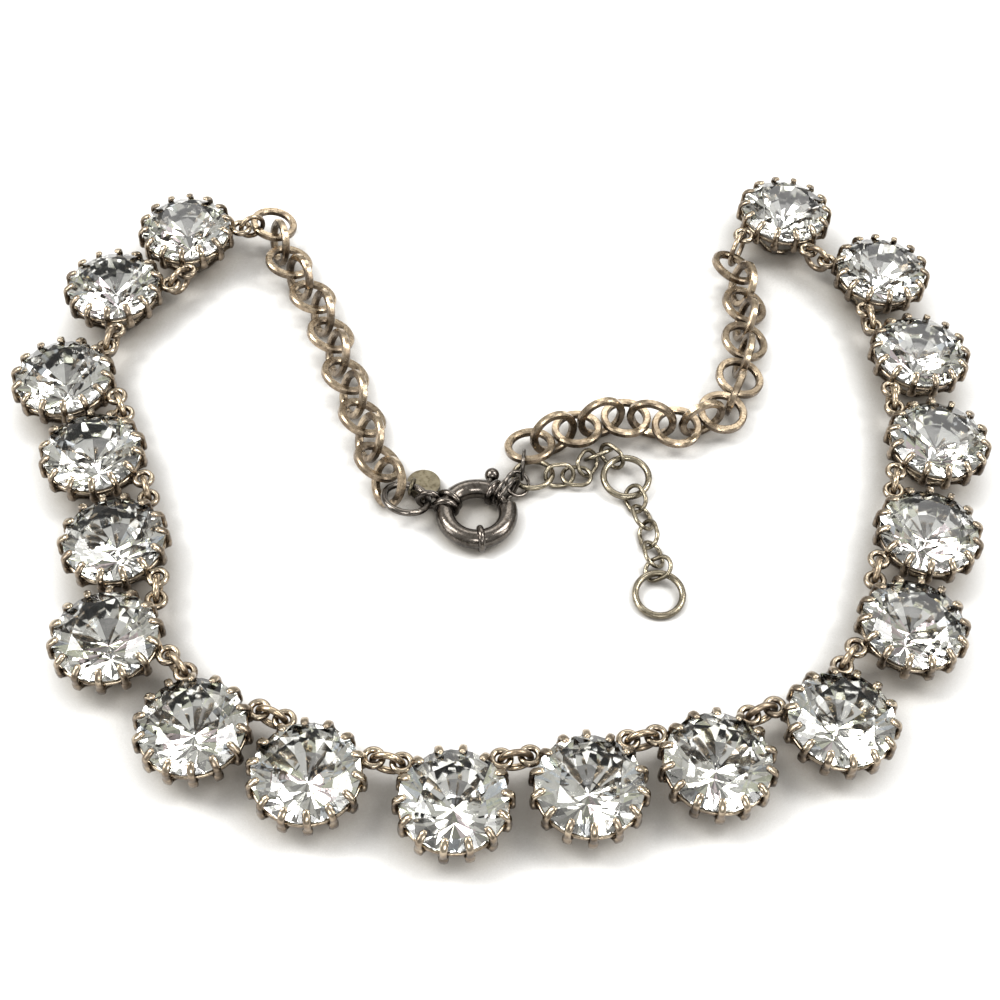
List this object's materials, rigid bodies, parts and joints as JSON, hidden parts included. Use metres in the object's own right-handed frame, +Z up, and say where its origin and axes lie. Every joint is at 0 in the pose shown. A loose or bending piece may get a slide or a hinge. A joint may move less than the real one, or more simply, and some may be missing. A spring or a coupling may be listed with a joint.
{
  "type": "riviere necklace",
  "caption": "Riviere necklace lying closed: round clear stones in claw settings, round-link side chains, a bolt ring clasp and a chain extender.",
  "frame": {"origin": "on the table under the middle of the outline", "axes": "+Z up from the table; +Y away from the front stones, towards the open end between the two end stones; +X to the right in the picture"},
  "size_m": [0.1249, 0.1074, 0.0073],
  "materials": {
    "crystal": "clear cut glass with a silvered back",
    "setting_metal": "aged yellow brass, polished on the claws",
    "chain_metal": "aged rosy brass",
    "clasp_metal": "darkened plated brass",
    "pale_metal": "pale aged brass"
  },
  "bodies": {
    "necklace": {"stone_01": "crystal", "stone_02": "crystal", "stone_03": "crystal", "stone_04": "crystal", "stone_05": "crystal", "stone_06": "crystal", "stone_07": "crystal", "stone_08": "crystal", "stone_09": "crystal", "stone_10": "crystal", "stone_11": "crystal", "stone_12": "crystal", "stone_13": "crystal", "stone_14": "crystal", "stone_15": "crystal", "stone_16": "crystal", "stone_17": "crystal", "stone_18": "crystal", "setting_01": "setting_metal", "setting_02": "setting_metal", "setting_03": "setting_metal", "setting_04": "setting_metal", "setting_05": "setting_metal", "setting_06": "setting_metal", "setting_07": "setting_metal", "setting_08": "setting_metal", "setting_09": "setting_metal", "setting_10": "setting_metal", "setting_11": "setting_metal", "setting_12": "setting_metal", "setting_13": "setting_metal", "setting_14": "setting_metal", "setting_15": "setting_metal", "setting_16": "setting_metal", "setting_17": "setting_metal", "setting_18": "setting_metal", "setting_rings": "chain_metal", "chain_left": "chain_metal", "chain_right": "chain_metal", "clasp_ring": "clasp_metal", "clasp_link_left": "clasp_metal", "clasp_links_right": "clasp_metal", "tag_disc": "pale_metal", "extender_chain": "pale_metal", "extender_rings": "pale_metal"},
    "tongue": {"clasp_tongue": "clasp_metal"}
  },
  "joints": [
    {"name": "clasp_slide", "type": "hinge", "parent": "necklace", "child": "tongue", "pos_m": [-0.00205, -0.0061, 0.00176], "axis": [0, 0, 1], "range_deg": [0, 38], "stiffness_Nm_per_rad": 0.008, "springref_deg": -20.05}
  ]
}
